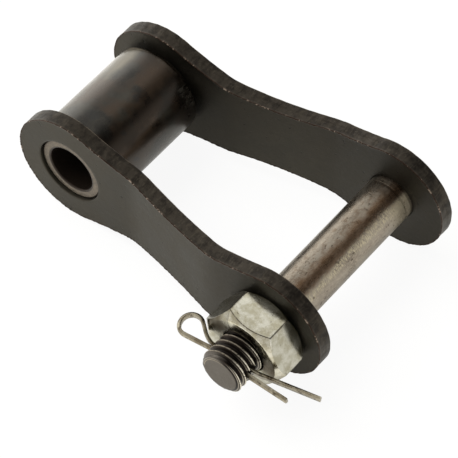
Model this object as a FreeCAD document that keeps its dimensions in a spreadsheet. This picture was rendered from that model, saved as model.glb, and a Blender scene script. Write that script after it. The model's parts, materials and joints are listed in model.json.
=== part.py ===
import FreeCAD, Part
import math
import os
import Sketcher
from FreeCAD import Vector

# Offset link of a roller chain with a bolted connecting pin.
# X runs from the bush to the connecting pin, Y along their axes, Z up, millimetres.
# The origin is on the bush's axis, halfway between the two plates.
doc = FreeCAD.newDocument("offset_link")

# Driving dimensions, one row for each size that can be set by itself
SIZES = [
    ("pitch", 41.4, "bush axis to connecting pin axis"),
    ("inside_width", 20.0, "between the plates at the bush"),
    ("plate_thickness", 2.6, "both plates"),
    ("crank_offset", 3.8, "sideways step of each plate"),
    ("crank_start", 12.2, "bush axis to the first bend"),
    ("crank_length", 18.6, "first bend's start to second bend's end"),
    ("bend_radius", 4.2, "middle of the sheet, both bends"),
    ("narrow_end_dia", 19.8, "plate's round end at the bush"),
    ("wide_end_dia", 19.2, "plate's round end at the pin"),
    ("waist_radius", 61.0, "hollow curve of the plate's long edges"),
    ("edge_break", 0.25, "sheared edges of the plates"),
    ("bush_dia", 11.4, "outside, pressed in the plates"),
    ("bush_bore", 8.1, "runs on the next link's pin"),
    ("bush_recess", 0.6, "bush end below the plate's outer face"),
    ("bush_chamfer", 0.3, "both edges of both ends"),
    ("roller_dia", 15.5, "outside"),
    ("roller_end_play", 1.4, "both plates' gaps to the roller together"),
    ("roller_near_gap", 0.3, "roller to near plate, where it has slid to"),
    ("roller_clearance", 0.06, "radial, roller on bush"),
    ("roller_chamfer", 0.4, "outer edges of the roller"),
    ("pin_dia", 7.9, "shank of the connecting pin"),
    ("pin_slip", 0.05, "radial, shank in the near plate"),
    ("groove_from_plate", 1.1, "far plate's inner face to the groove's middle"),
    ("groove_width", 0.5, "ring groove near the far plate"),
    ("groove_depth", 0.15, "ring groove near the far plate"),
    ("rivet_head_dia", 9.6, "spread end outside the far plate"),
    ("rivet_head_height", 1.1, "spread end outside the far plate"),
    ("rivet_head_chamfer", 0.5, "outer edge of the spread end"),
    ("shank_below_face", 0.4, "shank end below the near plate's outer face"),
    ("stud_dia", 7.4, "over the thread"),
    ("stud_length", 11.4, "near plate's outer face to the stud's end"),
    ("stud_chamfer", 0.6, "end of the thread"),
    ("nut_flats", 12.9, "across flats"),
    ("nut_height", 6.4, "along the stud"),
    ("nut_face_dia", 12.2, "flat ring inside the chamfer, both faces"),
    ("nut_chamfer_angle", 42.0, "from the face, both sides"),
    ("nut_turn", 6.6, "top flat's tilt, falling towards +X, degrees"),
    ("nut_countersink", 0.45, "at the mouth of the nut's bore"),
    ("thread_clearance", 0.04, "radial, nut bore to stud"),
    ("split_hole_dia", 2.4, "cross hole in the stud"),
    ("split_hole_gap", 0.65, "nut's face to the cross hole's edge"),
    ("split_wire_radius", 0.61, "half-round wire"),
    ("split_tilt", 11, "turn of the split pin about the cross hole, in degrees"),
    ("split_gap", 0.06, "between the flats of the closed legs"),
    ("eye_centre", 8.6, "pin axis to the eye's centre, along X"),
    ("eye_rise", 1.0, "eye's centre from the hole's axis, towards the nut"),
    ("eye_radius", 1.52, "inside of the eye"),
    ("eye_bend_radius", 4.8, "where the limbs leave the hole"),
    ("eye_mouth", 3.3, "pin axis to where the limbs part"),
    ("long_leg_reach", 14.3, "pin axis to the long leg's tip"),
    ("long_leg_angle", 11.0, "long leg off the hole's axis, degrees"),
    ("long_leg_rise_from", 3.9, "pin axis to the long leg's bend"),
    ("short_leg_reach", 10.4, "pin axis to the short leg's tip"),
    ("short_leg_drop", 0.5, "short leg below the long one's line"),
    ("short_leg_drop_from", 2.2, "pin axis back to where the short leg starts down"),
    ("short_leg_level_from", 4.3, "pin axis to where the short leg is level again"),
    ("leg_bend_radius", 4.0, "bends of the two legs"),
]

sheet = doc.addObject("Spreadsheet::Sheet", "sizes")
for row, (alias, value, note) in enumerate(SIZES, start=1):
    sheet.set(f"A{row}", alias)
    sheet.set(f"B{row}", str(value))
    sheet.set(f"C{row}", note)
    sheet.setAlias(f"B{row}", alias)
doc.recompute()

# Derived places, each worked out once from the cells above
NARROW_OUTER = "(sizes.inside_width / 2 + sizes.plate_thickness)"
WIDE_INNER = "(sizes.inside_width / 2 + sizes.crank_offset)"
WIDE_OUTER = "(sizes.inside_width / 2 + sizes.crank_offset + sizes.plate_thickness)"
NUT_FACE = f"({WIDE_OUTER} + sizes.nut_height)"
HOLE_AXIS = f"({NUT_FACE} + sizes.split_hole_gap + sizes.split_hole_dia / 2)"
SHORT_LEG_FLAT = "-(sizes.split_gap / 2 + sizes.short_leg_drop)"
START, END, CENTRE = range(1, 4)
ORIGIN = (-1, START)


def number(expression):
    """Value of an expression over the sheet, as a plain number."""
    value = sheet.evalExpression(expression)
    return float(getattr(value, "Value", value))


def new_body(label):
    body = doc.addObject("PartDesign::Body", label)
    body.Label = label
    return body


def origin_plane(body, role):
    return next(feature for feature in body.Origin.OriginFeatures if feature.Role == role)


def new_sketch(body, role, name):
    """Sketch on one of the body's own origin planes."""
    sketch = body.newObject("Sketcher::SketchObject", name)
    sketch.AttachmentSupport = [(origin_plane(body, role), "")]
    sketch.MapMode = "FlatFace"
    doc.recompute()
    return sketch


def bind(sketch, constraint, expression):
    """Add a dimension and tie it to the sheet."""
    index = sketch.addConstraint(constraint)
    sketch.setExpression(f"Constraints[{index}]", expression)


def place_point(sketch, geometry, end, x_text, y_text):
    """Hold one end of a curve at a named place from the sketch's origin."""
    bind(sketch, Sketcher.Constraint("DistanceX", *ORIGIN, geometry, end, number(x_text)), x_text)
    bind(sketch, Sketcher.Constraint("DistanceY", *ORIGIN, geometry, end, number(y_text)), y_text)


def add_polygon(sketch, corners):
    """Closed polygon, each corner an (x, y) pair of expressions."""
    points = [Vector(number(x), number(y), 0) for x, y in corners]
    first = sketch.GeometryCount
    count = len(points)
    for i, point in enumerate(points):
        sketch.addGeometry(Part.LineSegment(point, points[(i + 1) % count]), False)
    for i in range(count):
        following = first + (i + 1) % count
        sketch.addConstraint(Sketcher.Constraint("Coincident", first + i, END, following, START))
    for i, (x, y) in enumerate(corners):
        place_point(sketch, first + i, START, x, y)


def add_circle(sketch, x_text, y_text, dia_text):
    centre = Vector(number(x_text), number(y_text), 0)
    index = sketch.addGeometry(Part.Circle(centre, Vector(0, 0, 1), number(dia_text) / 2), False)
    place_point(sketch, index, CENTRE, x_text, y_text)
    bind(sketch, Sketcher.Constraint("Diameter", index, number(dia_text)), dia_text)


def revolve(body, corners, name):
    """Turned piece: a half section, seen from above, revolved about the body's own Y axis."""
    sketch = new_sketch(body, "XY_Plane", name + "_section")
    add_polygon(sketch, corners)
    turned = body.newObject("PartDesign::Revolution", name)
    turned.Profile = sketch
    turned.ReferenceAxis = (sketch, ["V_Axis"])
    turned.Angle = 360
    sketch.Visibility = False
    doc.recompute()


def cut_through(body, sketch, name):
    """Pocket through everything, both ways."""
    pocket = body.newObject("PartDesign::Pocket", name)
    pocket.Profile = sketch
    pocket.Type = "ThroughAll"
    pocket.Midplane = True
    doc.recompute()
    return pocket


def move_to_pin(body):
    """Bodies turned about their own origin sit on the connecting pin's axis."""
    body.setExpression("Placement.Base.x", "sizes.pitch")


def add_arc(sketch, centre, radius, start_deg, end_deg):
    """Arc that runs anticlockwise from one angle to the other."""
    circle = Part.Circle(Vector(*centre, 0), Vector(0, 0, 1), radius)
    arc = Part.ArcOfCircle(circle, math.radians(start_deg), math.radians(end_deg))
    return sketch.addGeometry(arc, False)


def add_line(sketch, start, end):
    return sketch.addGeometry(Part.LineSegment(Vector(*start, 0), Vector(*end, 0)), False)


def join_smoothly(sketch, ends):
    """Each pair of (curve, end) meets and runs on in the same direction."""
    for (first, first_end), (second, second_end) in ends:
        sketch.addConstraint(Sketcher.Constraint("Tangent", first, first_end, second, second_end))


def sweep(body, profile, spine, name):
    pipe = body.newObject("PartDesign::AdditivePipe", name)
    pipe.Profile = profile
    pipe.Spine = (spine, [])
    pipe.Mode = "Standard"
    profile.Visibility = False
    spine.Visibility = False
    doc.recompute()
    return pipe


def ramp_angle(length, step, radius):
    """Angle of the straight ramp between two equal bends that together make a sideways step."""
    spread = math.hypot(length, step - 2 * radius)
    return math.atan2(step - 2 * radius, length) + math.asin(2 * radius / spread)


def crank_line(body, side):
    """Middle line of the plate's sheet, seen from above: flat, bend, ramp, bend back, flat."""
    radius = number("sizes.bend_radius")
    start_x = number("sizes.crank_start")
    length = number("sizes.crank_length")
    narrow_text = f"{side} * (sizes.inside_width + sizes.plate_thickness) / 2"
    wide_text = f"{side} * ((sizes.inside_width + sizes.plate_thickness) / 2 + sizes.crank_offset)"
    back_text = "-(sizes.narrow_end_dia / 2 + sizes.plate_thickness)"
    front_text = "sizes.pitch + sizes.wide_end_dia / 2 + sizes.plate_thickness"
    narrow_y = number(narrow_text)
    wide_y = number(wide_text)
    ramp = ramp_angle(length, number("sizes.crank_offset"), radius)
    ramp_deg = math.degrees(ramp)
    bend_x = radius * math.sin(ramp)
    bend_y = side * radius * (1 - math.cos(ramp))

    sketch = new_sketch(body, "XY_Plane", "crank_line")
    flat_a = add_line(sketch, (number(back_text), narrow_y), (start_x, narrow_y))
    if side > 0:
        bend_a = add_arc(sketch, (start_x, narrow_y + radius), radius, -90, -90 + ramp_deg)
        a_from, a_to = START, END
    else:
        bend_a = add_arc(sketch, (start_x, narrow_y - radius), radius, 90 - ramp_deg, 90)
        a_from, a_to = END, START
    end_x = start_x + length
    slope = add_line(sketch, (start_x + bend_x, narrow_y + bend_y), (end_x - bend_x, wide_y - bend_y))
    if side > 0:
        bend_b = add_arc(sketch, (end_x, wide_y - radius), radius, 90, 90 + ramp_deg)
        b_from, b_to = END, START
    else:
        bend_b = add_arc(sketch, (end_x, wide_y + radius), radius, -90 - ramp_deg, -90)
        b_from, b_to = START, END
    flat_b = add_line(sketch, (end_x, wide_y), (number(front_text), wide_y))
    join_smoothly(sketch, [
        ((flat_a, END), (bend_a, a_from)),
        ((bend_a, a_to), (slope, START)),
        ((slope, END), (bend_b, b_from)),
        ((bend_b, b_to), (flat_b, START)),
    ])
    place_point(sketch, flat_a, START, back_text, narrow_text)
    sketch.addConstraint(Sketcher.Constraint("Horizontal", flat_a))
    bind(sketch, Sketcher.Constraint("DistanceX", *ORIGIN, flat_a, END, start_x), "sizes.crank_start")
    bind(sketch, Sketcher.Constraint("Radius", bend_a, radius), "sizes.bend_radius")
    bind(sketch, Sketcher.Constraint("Radius", bend_b, radius), "sizes.bend_radius")
    end_text = "sizes.crank_start + sizes.crank_length"
    bind(sketch, Sketcher.Constraint("DistanceX", *ORIGIN, flat_b, START, end_x), end_text)
    sketch.addConstraint(Sketcher.Constraint("Horizontal", flat_b))
    place_point(sketch, flat_b, END, front_text, wide_text)
    return sketch


def outline_curves(sketch):
    """Plate's outline: two round ends joined by two hollow arcs, each tangent to both ends."""
    narrow = number("sizes.narrow_end_dia") / 2
    wide = number("sizes.wide_end_dia") / 2
    waist = number("sizes.waist_radius")
    pitch = number("sizes.pitch")
    # The hollow arc's centre lies off both end centres by its own radius and theirs
    near_reach = narrow + waist
    far_reach = wide + waist
    centre_x = (near_reach ** 2 - far_reach ** 2 + pitch ** 2) / (2 * pitch)
    centre_y = math.sqrt(near_reach ** 2 - centre_x ** 2)
    lean = math.degrees(math.atan2(centre_y, centre_x))
    lean_wide = math.degrees(math.atan2(centre_y, centre_x - pitch))
    narrow_arc = add_arc(sketch, (0, 0), narrow, lean, 360 - lean)
    lower_arc = add_arc(sketch, (centre_x, -centre_y), waist, 180 - lean_wide, 180 - lean)
    wide_arc = add_arc(sketch, (pitch, 0), wide, -lean_wide, lean_wide)
    upper_arc = add_arc(sketch, (centre_x, centre_y), waist, 180 + lean, 180 + lean_wide)
    join_smoothly(sketch, [
        ((narrow_arc, END), (lower_arc, END)),
        ((lower_arc, START), (wide_arc, START)),
        ((wide_arc, END), (upper_arc, END)),
        ((upper_arc, START), (narrow_arc, START)),
    ])
    place_point(sketch, narrow_arc, CENTRE, "0", "0")
    place_point(sketch, wide_arc, CENTRE, "sizes.pitch", "0")
    bind(sketch, Sketcher.Constraint("Radius", narrow_arc, narrow), "sizes.narrow_end_dia / 2")
    bind(sketch, Sketcher.Constraint("Radius", wide_arc, wide), "sizes.wide_end_dia / 2")
    bind(sketch, Sketcher.Constraint("Radius", upper_arc, waist), "sizes.waist_radius")
    bind(sketch, Sketcher.Constraint("Radius", lower_arc, waist), "sizes.waist_radius")


def is_sheared_edge(edge):
    """Edges along the plate's broad faces, not those across its thickness or on a bend's line."""
    first = edge.valueAt(edge.FirstParameter)
    last = edge.valueAt(edge.LastParameter)
    is_straight = edge.Length < 1.0001 * first.distanceToPoint(last)
    return not is_straight


def cranked_plate(label, side, pin_hole_text):
    """Strip swept along the crank, cut to its outline, bored, with its sheared edges broken."""
    body = new_body(label)
    spine = crank_line(body, side)
    section = new_sketch(body, "YZ_Plane", "strip_section")
    section.setExpression("AttachmentOffset.Base.z", "-(sizes.narrow_end_dia / 2 + sizes.plate_thickness)")
    inner = f"{side} * sizes.inside_width / 2"
    outer = f"{side} * (sizes.inside_width / 2 + sizes.plate_thickness)"
    top = "(max(sizes.narrow_end_dia; sizes.wide_end_dia) / 2 + sizes.plate_thickness)"
    add_polygon(section, [(inner, f"-{top}"), (outer, f"-{top}"), (outer, top), (inner, top)])
    sweep(body, section, spine, "strip")

    outline = new_sketch(body, "XZ_Plane", "outline")
    outline_curves(outline)
    left = "-(sizes.narrow_end_dia + sizes.plate_thickness)"
    right = "sizes.pitch + sizes.wide_end_dia + sizes.plate_thickness"
    high = "(max(sizes.narrow_end_dia; sizes.wide_end_dia) + sizes.plate_thickness)"
    add_polygon(outline, [(left, f"-{high}"), (right, f"-{high}"), (right, high), (left, high)])
    cut_through(body, outline, "outline_cut")

    trimmed = body.Tip
    names = [f"Edge{i + 1}" for i, edge in enumerate(trimmed.Shape.Edges) if is_sheared_edge(edge)]
    broken = body.newObject("PartDesign::Chamfer", "sheared_edges")
    broken.Base = (trimmed, names)
    broken.setExpression("Size", "sizes.edge_break")
    doc.recompute()

    holes = new_sketch(body, "XZ_Plane", "holes")
    add_circle(holes, "0", "0", "sizes.bush_dia")
    add_circle(holes, "sizes.pitch", "0", pin_hole_text)
    cut_through(body, holes, "holes_cut")
    return body


def chamfered_tube(label, outer, outer_chamfer, inner, inner_chamfer, low, high):
    """Tube along Y with all four end edges chamfered."""
    body = new_body(label)
    revolve(body, [
        (inner, f"{low} + {inner_chamfer}"),
        (f"{inner} + {inner_chamfer}", low),
        (f"{outer} - {outer_chamfer}", low),
        (outer, f"{low} + {outer_chamfer}"),
        (outer, f"{high} - {outer_chamfer}"),
        (f"{outer} - {outer_chamfer}", high),
        (f"{inner} + {inner_chamfer}", high),
        (inner, f"{high} - {inner_chamfer}"),
    ], "turned_tube")
    return body


def bush():
    end = f"({NARROW_OUTER} - sizes.bush_recess)"
    return chamfered_tube("bush", "sizes.bush_dia / 2", "sizes.bush_chamfer", "sizes.bush_bore / 2",
                          "sizes.bush_chamfer", f"-{end}", end)


def roller():
    low = "-(sizes.inside_width / 2 - sizes.roller_near_gap)"
    high = f"({low} + sizes.inside_width - sizes.roller_end_play)"
    bore = "(sizes.bush_dia / 2 + sizes.roller_clearance)"
    return chamfered_tube("roller", "sizes.roller_dia / 2", "sizes.roller_chamfer", bore,
                          "sizes.roller_chamfer / 2", low, high)


def connecting_pin():
    """Spread end, shank with its ring groove, then the threaded end with its cross hole."""
    body = new_body("connecting_pin")
    shank = "sizes.pin_dia / 2"
    stud = "sizes.stud_dia / 2"
    head = "sizes.rivet_head_dia / 2"
    head_top = f"({WIDE_OUTER} + sizes.rivet_head_height)"
    groove = f"({WIDE_INNER} - sizes.groove_from_plate)"
    shank_end = f"-({WIDE_OUTER} - sizes.shank_below_face)"
    stud_end = f"-({WIDE_OUTER} + sizes.stud_length)"
    revolve(body, [
        ("0", head_top),
        (f"{head} - sizes.rivet_head_chamfer", head_top),
        (head, f"{head_top} - sizes.rivet_head_chamfer"),
        (head, WIDE_OUTER),
        (shank, WIDE_OUTER),
        (shank, f"{groove} + sizes.groove_width / 2"),
        (f"{shank} - sizes.groove_depth", groove),
        (shank, f"{groove} - sizes.groove_width / 2"),
        (shank, f"{shank_end} + (sizes.pin_dia - sizes.stud_dia) / 2"),
        (stud, shank_end),
        (stud, f"{stud_end} + sizes.stud_chamfer"),
        (f"{stud} - sizes.stud_chamfer", stud_end),
        ("0", stud_end),
    ], "turned_pin")
    cross = new_sketch(body, "YZ_Plane", "cross_hole")
    add_circle(cross, f"-{HOLE_AXIS}", "0", "sizes.split_hole_dia")
    cut_through(body, cross, "cross_hole_cut")
    move_to_pin(body)
    return body


def groove_out(body, corners, name):
    """Turned cut about the nut's axis."""
    sketch = new_sketch(body, "XY_Plane", name + "_section")
    add_polygon(sketch, corners)
    cut = body.newObject("PartDesign::Groove", name)
    cut.Profile = sketch
    cut.ReferenceAxis = (sketch, ["V_Axis"])
    cut.Angle = 360
    doc.recompute()


def hex_nut():
    """Hexagon with both faces chamfered in a lathe, then bored; its back lies on the plate."""
    body = new_body("hex_nut")
    hexagon = new_sketch(body, "XZ_Plane", "hexagon")
    corner = "sizes.nut_flats / sqrt(3)"
    add_polygon(hexagon, [
        (f"{corner} * cos({60 * k} - sizes.nut_turn)", f"{corner} * sin({60 * k} - sizes.nut_turn)")
        for k in range(6)
    ])
    prism = body.newObject("PartDesign::Pad", "prism")
    prism.Profile = hexagon
    prism.setExpression("Length", "sizes.nut_height")
    doc.recompute()

    face = "sizes.nut_face_dia / 2"
    beyond = "sizes.nut_flats"
    drop = f"({beyond} - {face}) * tan(sizes.nut_chamfer_angle)"
    groove_out(body, [(face, "0"), (beyond, "0"), (beyond, f"-{drop}")], "back_chamfer")
    front = "-sizes.nut_height"
    groove_out(body, [(face, front), (beyond, front), (beyond, f"{front} + {drop}")], "front_chamfer")

    bore = "(sizes.stud_dia / 2 + sizes.thread_clearance)"
    sink = "sizes.nut_countersink"
    groove_out(body, [
        ("0", "0"),
        (f"{bore} + {sink}", "0"),
        (bore, f"-{sink}"),
        (bore, f"{front} + {sink}"),
        (f"{bore} + {sink}", front),
        ("0", front),
    ], "bore")
    move_to_pin(body)
    body.setExpression("Placement.Base.y", f"-{WIDE_OUTER}")
    return body


def cross_tangent(first, second, radii, turn):
    """Direction of the line that passes between two circles, from the first one's centre to the second's."""
    reach_x = second[0] - first[0]
    reach_y = second[1] - first[1]
    return math.atan2(reach_y, reach_x) + turn * math.asin(radii / math.hypot(reach_x, reach_y))


def on_circle(centre, radius, angle):
    return (centre[0] + radius * math.cos(angle), centre[1] + radius * math.sin(angle))


def split_pin_line(body):
    """Middle of the wire's flat side, from the short leg's tip round the eye to the long leg's tip.

    The sketch's origin is on the cross hole's axis, X along the hole and Y towards the nut.
    """
    gap = number("sizes.split_gap") / 2
    drop = number("sizes.short_leg_drop")
    leg_radius = number("sizes.leg_bend_radius")
    limb_radius = number("sizes.eye_bend_radius")
    eye_radius = number("sizes.eye_radius")
    eye = (-number("sizes.eye_centre"), number("sizes.eye_rise"))
    mouth = -number("sizes.eye_mouth")
    tip_x = number("sizes.short_leg_reach")
    low_y = -gap - drop
    level_x = number("sizes.short_leg_level_from")
    drop_x = -number("sizes.short_leg_drop_from")
    rise_x = number("sizes.long_leg_rise_from")
    long_x = number("sizes.long_leg_reach")
    long_angle = math.radians(number("sizes.long_leg_angle"))

    slope = ramp_angle(level_x - drop_x, drop, leg_radius)
    slope_deg = math.degrees(slope)
    slope_x = leg_radius * math.sin(slope)
    slope_y = leg_radius * (1 - math.cos(slope))
    # Each limb is the line that touches its bend and the eye on opposite sides
    low_bend = (mouth, -gap - limb_radius)
    high_bend = (mouth, gap + limb_radius)
    low_way = cross_tangent(low_bend, eye, limb_radius + eye_radius, 1)
    high_way = cross_tangent(eye, high_bend, limb_radius + eye_radius, -1)
    low_deg = math.degrees(low_way)
    high_deg = math.degrees(high_way)

    quarter = math.pi / 2
    rise_centre = (rise_x, gap + leg_radius)
    rise_end = on_circle(rise_centre, leg_radius, long_angle - quarter)
    long_y = rise_end[1] + (long_x - rise_end[0]) * math.tan(long_angle)

    sketch = new_sketch(body, "XY_Plane", "wire_line")
    short_leg = add_line(sketch, (tip_x, low_y), (level_x, low_y))
    level_bend = add_arc(sketch, (level_x, low_y + leg_radius), leg_radius, 270 - slope_deg, 270)
    slope_line = add_line(sketch, (level_x - slope_x, low_y + slope_y), (drop_x + slope_x, -gap - slope_y))
    drop_bend = add_arc(sketch, (drop_x, -gap - leg_radius), leg_radius, 90 - slope_deg, 90)
    low_run = add_line(sketch, (drop_x, -gap), (mouth, -gap))
    low_turn = add_arc(sketch, low_bend, limb_radius, 90, low_deg - 90)
    low_limb = add_line(sketch, on_circle(low_bend, limb_radius, low_way - quarter),
                        on_circle(eye, eye_radius, low_way + quarter))
    eye_arc = add_arc(sketch, eye, eye_radius, 90 + high_deg, 90 + low_deg)
    high_limb = add_line(sketch, on_circle(eye, eye_radius, high_way + quarter),
                         on_circle(high_bend, limb_radius, high_way - quarter))
    high_turn = add_arc(sketch, high_bend, limb_radius, high_deg - 90, -90)
    high_run = add_line(sketch, (mouth, gap), (rise_x, gap))
    rise_bend = add_arc(sketch, rise_centre, leg_radius, -90, math.degrees(long_angle) - 90)
    long_leg = add_line(sketch, rise_end, (long_x, long_y))
    join_smoothly(sketch, [
        ((short_leg, END), (level_bend, END)),
        ((level_bend, START), (slope_line, START)),
        ((slope_line, END), (drop_bend, START)),
        ((drop_bend, END), (low_run, START)),
        ((low_run, END), (low_turn, START)),
        ((low_turn, END), (low_limb, START)),
        ((low_limb, END), (eye_arc, END)),
        ((eye_arc, START), (high_limb, START)),
        ((high_limb, END), (high_turn, START)),
        ((high_turn, END), (high_run, START)),
        ((high_run, END), (rise_bend, START)),
        ((rise_bend, END), (long_leg, START)),
    ])
    for arc, alias in [
        (level_bend, "leg_bend_radius"),
        (drop_bend, "leg_bend_radius"),
        (rise_bend, "leg_bend_radius"),
        (low_turn, "eye_bend_radius"),
        (high_turn, "eye_bend_radius"),
        (eye_arc, "eye_radius"),
    ]:
        bind(sketch, Sketcher.Constraint("Radius", arc, number(f"sizes.{alias}")), f"sizes.{alias}")
    for line in (short_leg, low_run, high_run):
        sketch.addConstraint(Sketcher.Constraint("Horizontal", line))
    place_point(sketch, short_leg, START, "sizes.short_leg_reach", SHORT_LEG_FLAT)
    place_point(sketch, low_run, START, "-sizes.short_leg_drop_from", "-sizes.split_gap / 2")
    place_point(sketch, high_run, START, "-sizes.eye_mouth", "sizes.split_gap / 2")
    place_point(sketch, eye_arc, CENTRE, "-sizes.eye_centre", "sizes.eye_rise")
    for curve, end, text in [
        (short_leg, END, "sizes.short_leg_level_from"),
        (low_run, END, "-sizes.eye_mouth"),
        (high_run, END, "sizes.long_leg_rise_from"),
        (long_leg, END, "sizes.long_leg_reach"),
    ]:
        bind(sketch, Sketcher.Constraint("DistanceX", *ORIGIN, curve, end, number(text)), text)
    bind(sketch, Sketcher.Constraint("Angle", long_leg, long_angle), "sizes.long_leg_angle * 1 deg")
    return sketch


def split_pin():
    """Half-round wire folded flat to flat through the stud, its legs spread."""
    body = new_body("split_pin")
    spine = split_pin_line(body)
    section = new_sketch(body, "YZ_Plane", "wire_section")
    section.setExpression("AttachmentOffset.Base.z", "sizes.short_leg_reach")
    radius = number("sizes.split_wire_radius")
    flat = number(SHORT_LEG_FLAT)
    round_side = add_arc(section, (flat, 0), radius, 90, 270)
    flat_side = add_line(section, (flat, -radius), (flat, radius))
    section.addConstraint(Sketcher.Constraint("Coincident", round_side, END, flat_side, START))
    section.addConstraint(Sketcher.Constraint("Coincident", flat_side, END, round_side, START))
    section.addConstraint(Sketcher.Constraint("Vertical", flat_side))
    section.addConstraint(Sketcher.Constraint("PointOnObject", round_side, CENTRE, flat_side))
    place_point(section, round_side, CENTRE, SHORT_LEG_FLAT, "0")
    bind(section, Sketcher.Constraint("Radius", round_side, radius), "sizes.split_wire_radius")
    sweep(body, section, spine, "wire")
    tilt = number("sizes.split_tilt")
    body.Placement = FreeCAD.Placement(Vector(), FreeCAD.Rotation(Vector(1, 0, 0), tilt))
    move_to_pin(body)
    body.setExpression("Placement.Base.y", f"-{HOLE_AXIS}")
    body.setExpression("Placement.Rotation.Angle", "sizes.split_tilt * 1 deg")
    return body


pieces = [
    cranked_plate("near_plate", -1, "sizes.pin_dia + 2 * sizes.pin_slip"),
    cranked_plate("far_plate", 1, "sizes.pin_dia"),
    bush(),
    roller(),
    connecting_pin(),
    hex_nut(),
    split_pin(),
]
doc.recompute()

for item in doc.Objects:
    if "Invalid" in item.State or "Error" in item.State:
        raise RuntimeError(f"{item.Label} failed: {item.State}")
for piece in pieces:
    if piece.Shape.isNull() or not piece.Shape.isValid() or len(piece.Shape.Solids) != 1:
        raise RuntimeError(f"{piece.Label} is not one valid solid")

os.makedirs("parts", exist_ok=True)
for piece in pieces:
    piece.Shape.exportStep(f"parts/{piece.Label}.step")
    box = piece.Shape.BoundBox
    low = f"{box.XMin:.2f} {box.YMin:.2f} {box.ZMin:.2f}"
    high = f"{box.XMax:.2f} {box.YMax:.2f} {box.ZMax:.2f}"
    print(f"{piece.Label}: volume {piece.Shape.Volume:.1f} mm3, from {low} to {high}")
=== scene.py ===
import json
import math

import bmesh
import bpy
import numpy as np
from mathutils import Matrix, Vector


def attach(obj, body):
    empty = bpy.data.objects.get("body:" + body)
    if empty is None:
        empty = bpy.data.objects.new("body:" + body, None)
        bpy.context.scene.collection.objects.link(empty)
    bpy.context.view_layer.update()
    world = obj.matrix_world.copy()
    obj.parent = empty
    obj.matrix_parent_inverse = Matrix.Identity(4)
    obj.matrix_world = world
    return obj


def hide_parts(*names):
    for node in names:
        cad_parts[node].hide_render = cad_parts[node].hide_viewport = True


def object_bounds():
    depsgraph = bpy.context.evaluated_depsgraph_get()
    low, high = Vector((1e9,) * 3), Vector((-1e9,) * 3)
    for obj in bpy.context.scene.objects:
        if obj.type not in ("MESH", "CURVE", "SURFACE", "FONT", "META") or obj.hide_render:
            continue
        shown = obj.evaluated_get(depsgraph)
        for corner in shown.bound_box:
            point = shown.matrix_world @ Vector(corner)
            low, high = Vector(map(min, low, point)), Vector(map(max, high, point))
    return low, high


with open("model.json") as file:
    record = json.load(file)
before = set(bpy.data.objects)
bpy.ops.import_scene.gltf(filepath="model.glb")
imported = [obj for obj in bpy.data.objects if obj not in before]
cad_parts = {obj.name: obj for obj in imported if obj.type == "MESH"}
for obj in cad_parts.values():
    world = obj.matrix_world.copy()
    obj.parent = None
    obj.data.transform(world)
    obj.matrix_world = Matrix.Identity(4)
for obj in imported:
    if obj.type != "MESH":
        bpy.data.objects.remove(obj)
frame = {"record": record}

frameLow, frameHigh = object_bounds()
record = frame["record"]
mm = 0.001
print("scene: frame loaded")

pinMount = next(m for m in record["mounts"] if m["name"] == "connecting_pin_shank")
pitch = pinMount["pos_m"][0] / mm


# Faces of a grid whose point number is start + row * columns + column; closed joins its last column and first
def gridFaces(rows, columns, closed, start):
    across = columns if closed else columns - 1
    row, column = np.meshgrid(np.arange(rows - 1), np.arange(across), indexing="ij")
    after = (column + 1) % columns
    quads = np.stack([row * columns + column, row * columns + after,
                      (row + 1) * columns + after, (row + 1) * columns + column], axis=-1)
    return quads.reshape(-1, 4) + start


# Several grids of points (rows, columns, 3) in mm become one mesh in metres; equal points are welded
def makeMesh(name, grids, attributes=None, weld=1e-7):
    points, faces, start = [], [], 0
    for grid, closed in grids:
        rows, columns = grid.shape[:2]
        points.append(grid.reshape(-1, 3))
        faces.append(gridFaces(rows, columns, closed, start))
        start += rows * columns
    points = np.concatenate(points) * mm
    faces = np.concatenate(faces)
    mesh = bpy.data.meshes.new(name)
    mesh.vertices.add(len(points))
    mesh.vertices.foreach_set("co", points.astype(np.float32).ravel())
    mesh.loops.add(faces.size)
    mesh.loops.foreach_set("vertex_index", faces.astype(np.int32).ravel())
    mesh.polygons.add(len(faces))
    mesh.polygons.foreach_set("loop_start", np.arange(0, faces.size, 4, dtype=np.int32))
    mesh.update(calc_edges=True)
    for label, values in (attributes or {}).items():
        layer = mesh.attributes.new(label, "FLOAT", "POINT")
        layer.data.foreach_set("value", values.astype(np.float32).ravel())
    work = bmesh.new()
    work.from_mesh(mesh)
    bmesh.ops.remove_doubles(work, verts=work.verts, dist=weld)
    bmesh.ops.dissolve_degenerate(work, dist=weld, edges=work.edges)
    bmesh.ops.recalc_face_normals(work, faces=work.faces)
    work.to_mesh(mesh)
    work.free()
    mesh.polygons.foreach_set("use_smooth", np.ones(len(mesh.polygons), bool))
    mesh.update()
    thing = bpy.data.objects.new(name, mesh)
    bpy.context.scene.collection.objects.link(thing)
    return thing


# Rounds each corner of a profile with a curve whose middle leans to the corner:
# point = (1-t)^2 before + 2t(1-t) corner + t^2 after, before and after a radius away along the two sides.
# The profile may hold a column of values per angle: shape (corners, angles, 2).
def roundCorners(profile, radii, steps=5, closed=True):
    profile = np.asarray(profile, float)
    if profile.ndim == 2:
        profile = profile[:, None, :]
    count = len(profile)
    t = np.linspace(0, 1, steps)[:, None, None]
    rows = []
    for index in range(count):
        corner = profile[index]
        if radii[index] == 0 or (not closed and index in (0, count - 1)):
            rows.append(corner[None])
            continue
        reach = []
        for other in (profile[index - 1], profile[(index + 1) % count]):
            side = other - corner
            length = np.linalg.norm(side, axis=-1, keepdims=True)
            reach.append(corner + side / length * np.minimum(radii[index], 0.49 * length))
        rows.append((1 - t) ** 2 * reach[0] + 2 * t * (1 - t) * corner + t ** 2 * reach[1])
    return np.concatenate(rows)


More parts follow.
